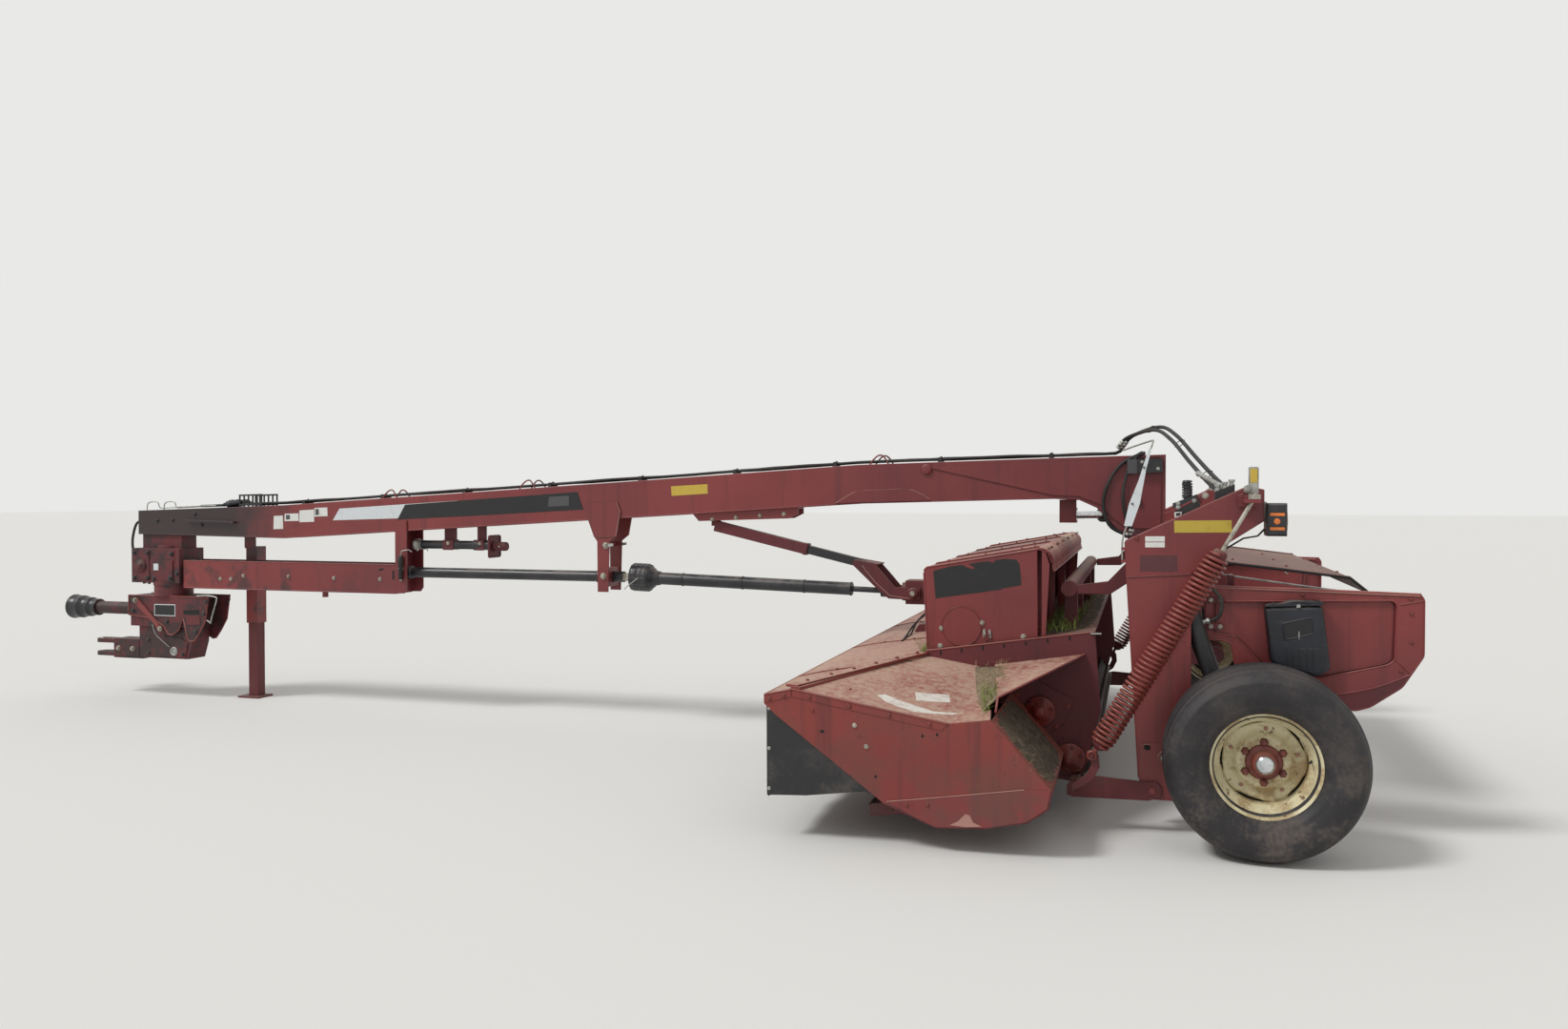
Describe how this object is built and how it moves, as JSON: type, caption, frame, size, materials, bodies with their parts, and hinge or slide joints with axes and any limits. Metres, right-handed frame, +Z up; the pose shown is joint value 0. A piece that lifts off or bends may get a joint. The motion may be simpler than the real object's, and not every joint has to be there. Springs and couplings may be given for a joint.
{
  "type": "disc mower conditioner",
  "caption": "Trailed disc mower conditioner on two wheels, with a long swinging tongue over its header, shaft drive, spring-floated header and windrow shields.",
  "frame": {"origin": "on the ground, in the middle of the part's length and width, standing on its wheels and its parking stand", "axes": "+X rearwards along the tongue, +Y to the machine's right-hand side, +Z up"},
  "size_m": [8.86, 4.3, 1.862],
  "materials": {
    "oxide_red": "faded oxide red paint, dusty",
    "dark_red": "darker red paint, grimy",
    "spring_red": "red coil springs",
    "steel": "plain worn steel",
    "disc_steel": "worn steel discs and knives",
    "rod_chrome": "chromed cylinder rods",
    "black_metal": "black painted cylinder barrels",
    "black_plastic": "matt black plastic",
    "guard_plastic": "black shaft guards",
    "hose_rubber": "black hoses",
    "curtain_rubber": "black rubber curtain",
    "roll_rubber": "black conditioning rolls",
    "tyre_rubber": "black tyre rubber",
    "cream": "cream wheel paint"
  },
  "bodies": {
    "frame": {"cross_frame": "oxide_red", "frame_legs": "oxide_red", "header_links": "oxide_red", "float_springs": "spring_red", "spring_rods": "steel", "light_brackets": "black_plastic", "valve_block": "black_plastic", "frame_hoses": "hose_rubber", "header_frame": "dark_red", "top_cover": "oxide_red", "end_panels": "oxide_red", "curtain": "curtain_rubber", "hood": "oxide_red", "cutterbar": "dark_red", "roll_carriers": "dark_red", "gearbox_base": "dark_red"},
    "tongue": {"tongue_beam": "oxide_red", "tongue_brackets": "oxide_red", "shaft_trough": "oxide_red", "front_drive_line": "guard_plastic", "stowed_jack": "dark_red", "upper_gearbox": "oxide_red", "tongue_hoses": "hose_rubber"},
    "stand": {"stand_leg": "oxide_red"},
    "hitch": {"lower_gearbox": "oxide_red"},
    "input_shaft": {"input_yoke": "steel"},
    "swivel": {"swivel_gearbox": "oxide_red"},
    "shaft_outer": {"rear_shaft_outer": "guard_plastic"},
    "shaft_inner": {"rear_shaft_inner": "guard_plastic"},
    "swing_cylinder_barrel": {"swing_barrel": "black_metal"},
    "swing_cylinder_rod": {"swing_rod": "rod_chrome"},
    "swath": {"swath_board": "dark_red"},
    "roll_a": {"roll_upper": "roll_rubber"},
    "roll_b": {"roll_lower": "roll_rubber"},
    "arm_left": {"wheel_arm_left": "dark_red"},
    "wheel_left": {"tyre_left": "tyre_rubber", "rim_left": "cream"},
    "lift_left_barrel": {"lift_barrel_left": "black_metal"},
    "lift_left_rod": {"lift_rod_left": "rod_chrome"},
    "arm_right": {"wheel_arm_right": "dark_red"},
    "wheel_right": {"tyre_right": "tyre_rubber", "rim_right": "cream"},
    "lift_right_barrel": {"lift_barrel_right": "black_metal"},
    "lift_right_rod": {"lift_rod_right": "rod_chrome"},
    "windrow_left": {"shield_left": "oxide_red", "document_box": "black_plastic"},
    "box_lid": {"document_lid": "black_plastic"},
    "windrow_right": {"shield_right": "oxide_red"},
    "cutter_1": {"disc_1": "disc_steel"},
    "cutter_2": {"disc_2": "disc_steel"},
    "cutter_3": {"disc_3": "disc_steel"},
    "cutter_4": {"disc_4": "disc_steel"},
    "cutter_5": {"disc_5": "disc_steel"},
    "cutter_6": {"disc_6": "disc_steel"},
    "cutter_7": {"disc_7": "disc_steel"},
    "cutter_8": {"disc_8": "disc_steel"},
    "cutter_9": {"disc_9": "disc_steel"},
    "cutter_10": {"disc_10": "disc_steel"}
  },
  "joints": [
    {"name": "tongue_swing", "type": "hinge", "parent": "frame", "child": "tongue", "pos_m": [3.34, 0, 1.24], "axis": [0, 0, 1], "range_deg": [-28, 28]},
    {"name": "gearbox_swivel", "type": "hinge", "parent": "frame", "child": "swivel", "pos_m": [2.22, 0, 0.85], "axis": [0, 0, 1], "range_deg": [-49, 49]},
    {"name": "rear_shaft_front_joint", "type": "hinge", "parent": "tongue", "child": "shaft_outer", "pos_m": [0.21, 0, 0.95], "axis": [0, 0, 1], "range_deg": [-13, 13]},
    {"name": "rear_shaft_rear_joint", "type": "hinge", "parent": "swivel", "child": "shaft_inner", "pos_m": [1.87, 0, 0.9], "axis": [0, 0, 1], "range_deg": [-8, 8]},
    {"name": "swing_cylinder_pivot", "type": "hinge", "parent": "frame", "child": "swing_cylinder_barrel", "pos_m": [3.4, 0.8, 1.36], "axis": [0, 0, 1], "range_deg": [-6.5, 6.5]},
    {"name": "swing_cylinder_stroke", "type": "slide", "parent": "swing_cylinder_barrel", "child": "swing_cylinder_rod", "axis": [-0.5944, -0.8042, 0], "range_m": [-0.21, 0.21]},
    {"name": "hitch_swivel", "type": "hinge", "parent": "tongue", "child": "hitch", "pos_m": [-3.5, 0, 0.8], "axis": [0, 0, 1], "range_deg": [-75, 75]},
    {"name": "input_spin", "type": "hinge", "parent": "hitch", "child": "input_shaft", "pos_m": [-4.16, 0, 0.636], "axis": [1, 0, 0], "continuous": true},
    {"name": "stand_slide", "type": "slide", "parent": "tongue", "child": "stand", "axis": [0, 0, 1], "range_m": [0, 0.39]},
    {"name": "swath_board_tilt", "type": "hinge", "parent": "frame", "child": "swath", "pos_m": [3.64, 0, 1.15], "axis": [0, 1, 0], "range_deg": [0, 35]},
    {"name": "upper_roll_spin", "type": "hinge", "parent": "frame", "child": "roll_a", "pos_m": [2.853, 0, 0.471], "axis": [0, 1, 0], "continuous": true},
    {"name": "lower_roll_spin", "type": "hinge", "parent": "frame", "child": "roll_b", "pos_m": [2.987, 0, 0.261], "axis": [0, 1, 0], "continuous": true},
    {"name": "windrow_left_swing", "type": "hinge", "parent": "frame", "child": "windrow_left", "pos_m": [3.544, -1.48, 0.96], "axis": [0, 0, 1], "range_deg": [0, 20]},
    {"name": "windrow_right_swing", "type": "hinge", "parent": "frame", "child": "windrow_right", "pos_m": [3.544, 1.48, 0.96], "axis": [0, 0, -1], "range_deg": [0, 20]},
    {"name": "box_lid_hinge", "type": "hinge", "parent": "windrow_left", "child": "box_lid", "pos_m": [3.9185, -1.4963, 1.031], "axis": [-0.9985, 0, -0.0548], "range_deg": [0, 70]},
    {"name": "lift_left", "type": "hinge", "parent": "frame", "child": "arm_left", "pos_m": [3.4, -1.548, 0.34], "axis": [0, 1, 0], "range_deg": [-12, 36]},
    {"name": "lift_left_cylinder_pivot", "type": "hinge", "parent": "frame", "child": "lift_left_barrel", "pos_m": [3.5, -1.548, 0.98], "axis": [0, 1, 0], "range_deg": [-1, 2.4]},
    {"name": "lift_left_cylinder_stroke", "type": "slide", "parent": "lift_left_barrel", "child": "lift_left_rod", "axis": [0.319, 0, -0.9478], "range_m": [-0.065, 0.19]},
    {"name": "wheel_left_spin", "type": "hinge", "parent": "arm_left", "child": "wheel_left", "pos_m": [3.78, -1.806, 0.3935], "axis": [0, 1, 0], "continuous": true},
    {"name": "lift_right", "type": "hinge", "parent": "frame", "child": "arm_right", "pos_m": [3.4, 1.548, 0.34], "axis": [0, 1, 0], "range_deg": [-12, 36]},
    {"name": "lift_right_cylinder_pivot", "type": "hinge", "parent": "frame", "child": "lift_right_barrel", "pos_m": [3.5, 1.548, 0.98], "axis": [0, 1, 0], "range_deg": [-1, 2.4]},
    {"name": "lift_right_cylinder_stroke", "type": "slide", "parent": "lift_right_barrel", "child": "lift_right_rod", "axis": [0.319, 0, -0.9478], "range_m": [-0.065, 0.19]},
    {"name": "wheel_right_spin", "type": "hinge", "parent": "arm_right", "child": "wheel_right", "pos_m": [3.78, 1.806, 0.3935], "axis": [0, 1, 0], "continuous": true},
    {"name": "disc_1_spin", "type": "hinge", "parent": "frame", "child": "cutter_1", "pos_m": [2.34, -1.782, 0.15], "axis": [-0.1564, 0, 0.9877], "continuous": true},
    {"name": "disc_2_spin", "type": "hinge", "parent": "frame", "child": "cutter_2", "pos_m": [2.34, -1.386, 0.15], "axis": [-0.1564, 0, 0.9877], "continuous": true},
    {"name": "disc_3_spin", "type": "hinge", "parent": "frame", "child": "cutter_3", "pos_m": [2.34, -0.99, 0.15], "axis": [-0.1564, 0, 0.9877], "continuous": true},
    {"name": "disc_4_spin", "type": "hinge", "parent": "frame", "child": "cutter_4", "pos_m": [2.34, -0.594, 0.15], "axis": [-0.1564, 0, 0.9877], "continuous": true},
    {"name": "disc_5_spin", "type": "hinge", "parent": "frame", "child": "cutter_5", "pos_m": [2.34, -0.198, 0.15], "axis": [-0.1564, 0, 0.9877], "continuous": true},
    {"name": "disc_6_spin", "type": "hinge", "parent": "frame", "child": "cutter_6", "pos_m": [2.34, 0.198, 0.15], "axis": [-0.1564, 0, 0.9877], "continuous": true},
    {"name": "disc_7_spin", "type": "hinge", "parent": "frame", "child": "cutter_7", "pos_m": [2.34, 0.594, 0.15], "axis": [-0.1564, 0, 0.9877], "continuous": true},
    {"name": "disc_8_spin", "type": "hinge", "parent": "frame", "child": "cutter_8", "pos_m": [2.34, 0.99, 0.15], "axis": [-0.1564, 0, 0.9877], "continuous": true},
    {"name": "disc_9_spin", "type": "hinge", "parent": "frame", "child": "cutter_9", "pos_m": [2.34, 1.386, 0.15], "axis": [-0.1564, 0, 0.9877], "continuous": true},
    {"name": "disc_10_spin", "type": "hinge", "parent": "frame", "child": "cutter_10", "pos_m": [2.34, 1.782, 0.15], "axis": [-0.1564, 0, 0.9877], "continuous": true}
  ],
  "couplings": [
    {"joint": "gearbox_swivel", "follows": "tongue_swing", "ratio": 1.745},
    {"joint": "rear_shaft_front_joint", "follows": "tongue_swing", "ratio": 0.46},
    {"joint": "rear_shaft_rear_joint", "follows": "tongue_swing", "ratio": -0.285},
    {"joint": "swing_cylinder_pivot", "follows": "tongue_swing", "ratio": 0.21},
    {"joint": "swing_cylinder_stroke", "follows": "tongue_swing", "m_per_rad": 0.425},
    {"joint": "lower_roll_spin", "follows": "upper_roll_spin", "ratio": -1},
    {"joint": "lift_left_cylinder_pivot", "follows": "lift_left", "ratio": 0.06},
    {"joint": "lift_left_cylinder_stroke", "follows": "lift_left", "m_per_rad": 0.295},
    {"joint": "lift_right_cylinder_pivot", "follows": "lift_right", "ratio": 0.06},
    {"joint": "lift_right_cylinder_stroke", "follows": "lift_right", "m_per_rad": 0.295},
    {"joint": "disc_2_spin", "follows": "disc_1_spin", "ratio": -1},
    {"joint": "disc_3_spin", "follows": "disc_1_spin", "ratio": 1},
    {"joint": "disc_4_spin", "follows": "disc_1_spin", "ratio": -1},
    {"joint": "disc_5_spin", "follows": "disc_1_spin", "ratio": 1},
    {"joint": "disc_6_spin", "follows": "disc_1_spin", "ratio": -1},
    {"joint": "disc_7_spin", "follows": "disc_1_spin", "ratio": 1},
    {"joint": "disc_8_spin", "follows": "disc_1_spin", "ratio": -1},
    {"joint": "disc_9_spin", "follows": "disc_1_spin", "ratio": 1},
    {"joint": "disc_10_spin", "follows": "disc_1_spin", "ratio": -1}
  ]
}
